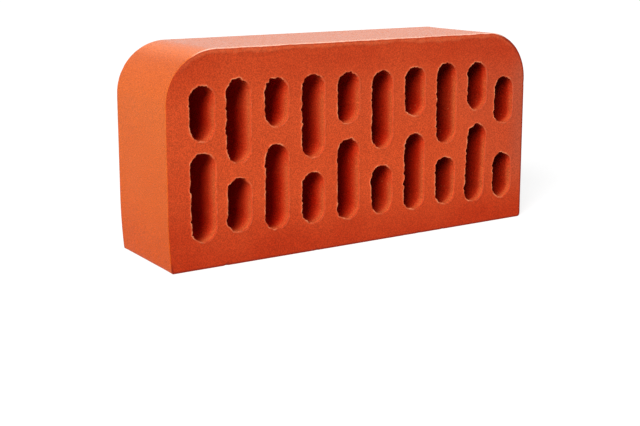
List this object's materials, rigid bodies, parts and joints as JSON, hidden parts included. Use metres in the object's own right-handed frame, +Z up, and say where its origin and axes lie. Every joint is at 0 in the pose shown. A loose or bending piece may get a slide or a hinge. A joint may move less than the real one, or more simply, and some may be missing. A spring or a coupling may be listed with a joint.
{
  "type": "perforated facing brick",
  "caption": "Fired clay facing brick with two large rounded corners and staggered rows of round-ended slots right through its bed faces.",
  "frame": {"origin": "centre of the long side face that it stands on", "axes": "+X along the length, +Y through the thickness from the front bed face to the back one, +Z up the width"},
  "size_m": [0.25, 0.065, 0.12],
  "materials": {
    "fired_clay": "matt red-orange fired clay, fine sandy grain on the wire-cut faces and smoother extruded skin"
  },
  "bodies": {
    "root": {"brick": "fired_clay"}
  },
  "joints": []
}
